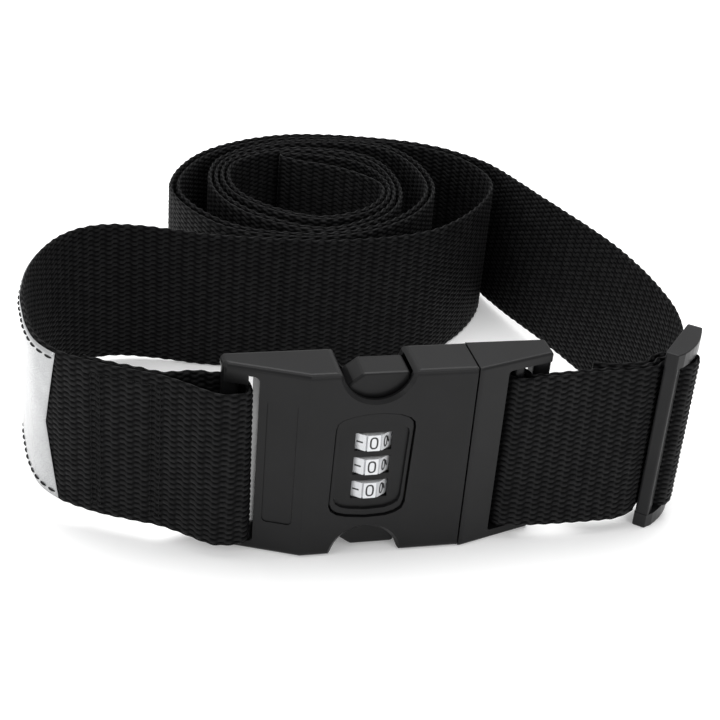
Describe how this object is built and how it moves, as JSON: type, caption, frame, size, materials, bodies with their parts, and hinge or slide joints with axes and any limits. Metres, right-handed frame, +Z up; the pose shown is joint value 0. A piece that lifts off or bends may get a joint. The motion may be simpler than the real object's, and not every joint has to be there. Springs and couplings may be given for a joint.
{
  "type": "luggage strap",
  "caption": "Woven black luggage strap with a side-release buckle, combination dials, a tri-glide adjuster and a reflective patch, its free length rolled up.",
  "frame": {"origin": "bottom centre of the whole object's bounding box, on the surface it stands on", "axes": "+X along the buckle from the receptacle to the plug, -Y out of the buckle's front face with the dials, +Z up across the webbing width"},
  "size_m": [0.2003, 0.2047, 0.06],
  "materials": {
    "webbing": "woven black polypropylene",
    "black_plastic": "satin moulded acetal",
    "dark_plastic": "satin moulded acetal, slightly greyer",
    "silver_dial": "silver dial with dark numerals",
    "steel": "plain",
    "brass": "plain",
    "thread": "black polyester thread",
    "reflective": "silver-white retro-reflective tape"
  },
  "bodies": {
    "receptacle": {"receptacle_shell": "black_plastic", "receptacle_back_cover": "black_plastic", "dial_bezel": "black_plastic", "cover_screw_1": "steel", "cover_screw_2": "steel", "cover_screw_3": "steel", "cover_screw_4": "steel", "lock_chassis": "steel", "dial_axle": "steel", "detent_spring": "steel", "spring_stop": "dark_plastic", "lock_spring_upper": "steel", "lock_spring_lower": "steel", "webbing_main": "webbing", "webbing_diagonal": "webbing", "reflective_patch": "reflective", "patch_stitch_upper": "thread", "patch_stitch_lower": "thread", "end_stitching": "thread"},
    "dial_top": {"dial_wheel_top": "silver_dial", "clutch_sleeve_top": "brass"},
    "dial_middle": {"dial_wheel_middle": "silver_dial", "clutch_sleeve_middle": "brass"},
    "dial_bottom": {"dial_wheel_bottom": "silver_dial", "clutch_sleeve_bottom": "brass"},
    "lock_slider": {"lock_slide": "brass"},
    "reset_push": {"reset_button": "dark_plastic"},
    "plug": {"plug_frame": "black_plastic", "webbing_adjuster_loop": "webbing"},
    "plug_prong_upper": {"prong_upper": "black_plastic"},
    "plug_prong_lower": {"prong_lower": "black_plastic"},
    "adjuster": {"adjuster_slider": "dark_plastic", "adjuster_stitching": "thread"}
  },
  "joints": [
    {"name": "dial_top_spin", "type": "hinge", "parent": "receptacle", "child": "dial_top", "pos_m": [-0.00537, -0.09492, 0.0371], "axis": [0, 0, 1], "continuous": true},
    {"name": "dial_middle_spin", "type": "hinge", "parent": "receptacle", "child": "dial_middle", "pos_m": [-0.00537, -0.09492, 0.0292], "axis": [0, 0, 1], "continuous": true},
    {"name": "dial_bottom_spin", "type": "hinge", "parent": "receptacle", "child": "dial_bottom", "pos_m": [-0.00537, -0.09492, 0.0213], "axis": [0, 0, 1], "continuous": true},
    {"name": "lock_slide_travel", "type": "slide", "parent": "receptacle", "child": "lock_slider", "axis": [-1, 0, 0], "range_m": [0, 0.0006], "stiffness_N_per_m": 200, "deforming": ["lock_spring_upper", "lock_spring_lower"]},
    {"name": "reset_button_press", "type": "slide", "parent": "receptacle", "child": "reset_push", "axis": [0, -1, 0], "range_m": [0, 0.001], "stiffness_N_per_m": 300},
    {"name": "plug_release", "type": "slide", "parent": "receptacle", "child": "plug", "axis": [1, 0, 0], "range_m": [0, 0.045], "deforming": ["webbing_diagonal"]},
    {"name": "prong_upper_squeeze", "type": "hinge", "parent": "plug", "child": "plug_prong_upper", "pos_m": [0.02063, -0.09437, 0.053], "axis": [0, -1, 0], "range_deg": [0, 5.5], "stiffness_Nm_per_rad": 5},
    {"name": "prong_lower_squeeze", "type": "hinge", "parent": "plug", "child": "plug_prong_lower", "pos_m": [0.02063, -0.09437, 0.007], "axis": [0, 1, 0], "range_deg": [0, 5.5], "stiffness_Nm_per_rad": 5},
    {"name": "adjuster_travel", "type": "slide", "parent": "plug", "child": "adjuster", "axis": [-1, 0, 0], "range_m": [0, 0.012], "deforming": ["webbing_adjuster_loop"]}
  ]
}
